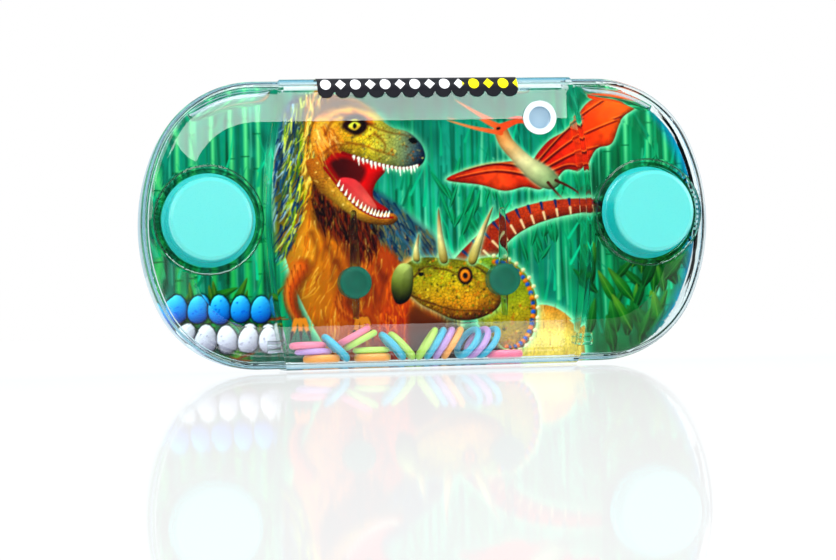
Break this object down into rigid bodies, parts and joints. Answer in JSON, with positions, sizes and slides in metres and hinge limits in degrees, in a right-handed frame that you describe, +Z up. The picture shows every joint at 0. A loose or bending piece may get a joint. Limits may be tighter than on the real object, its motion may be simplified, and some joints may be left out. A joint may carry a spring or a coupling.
{
  "type": "handheld water ring-toss game",
  "caption": "Handheld water ring-toss game: clear water tank in a stadium-shaped case, picture card, pegs, loose rings, and a pump push button at each end.",
  "frame": {"origin": "under the middle of the bounding box, on the long lower edge that the case stands on", "axes": "+Z up, X along the case, the front with the buttons faces -Y"},
  "size_m": [0.1392, 0.0286, 0.0702],
  "materials": {
    "clear_case": "clear, glossy",
    "clear_trim": "clear, glossy",
    "button_turquoise": "opaque turquoise, satin-gloss",
    "cup_rubber": "soft, matte",
    "peg_teal": "translucent teal-green",
    "plug_white": "white, glossy",
    "printed_board": "printed on the front, glossy",
    "label_black": "laminated label",
    "ring_blue": "soft plastic",
    "ring_lime": "soft plastic",
    "ring_pink": "soft plastic",
    "ring_orange": "soft plastic",
    "ring_lilac": "soft plastic"
  },
  "bodies": {
    "case": {"front_shell": "clear_case", "tank_back": "clear_case", "rear_cover": "clear_case", "printed_card": "printed_board", "filler_plug": "plug_white", "top_sticker": "label_black", "left_divider": "clear_trim", "left_jet": "clear_trim", "left_collar": "clear_trim", "left_clamp_ring": "clear_trim", "left_bellows": "cup_rubber", "left_peg": "peg_teal", "right_divider": "clear_trim", "right_jet": "clear_trim", "right_collar": "clear_trim", "right_clamp_ring": "clear_trim", "right_bellows": "cup_rubber", "right_peg": "peg_teal"},
    "left_button": {"left_button": "button_turquoise"},
    "right_button": {"right_button": "button_turquoise"},
    "rings": {"blue_rings": "ring_blue", "lime_rings": "ring_lime", "pink_rings": "ring_pink", "orange_rings": "ring_orange", "lilac_rings": "ring_lilac"}
  },
  "joints": [
    {"name": "left_button_press", "type": "slide", "parent": "case", "child": "left_button", "axis": [0, 1, 0], "range_m": [0, 0.004], "stiffness_N_per_m": 600, "springref_m": -0.001, "deforming": ["left_bellows"]},
    {"name": "right_button_press", "type": "slide", "parent": "case", "child": "right_button", "axis": [0, 1, 0], "range_m": [0, 0.004], "stiffness_N_per_m": 600, "springref_m": -0.001, "deforming": ["right_bellows"]},
    {"name": "rings_lift", "type": "slide", "parent": "case", "child": "rings", "axis": [0, 0, 1], "range_m": [0, 0.001]}
  ]
}
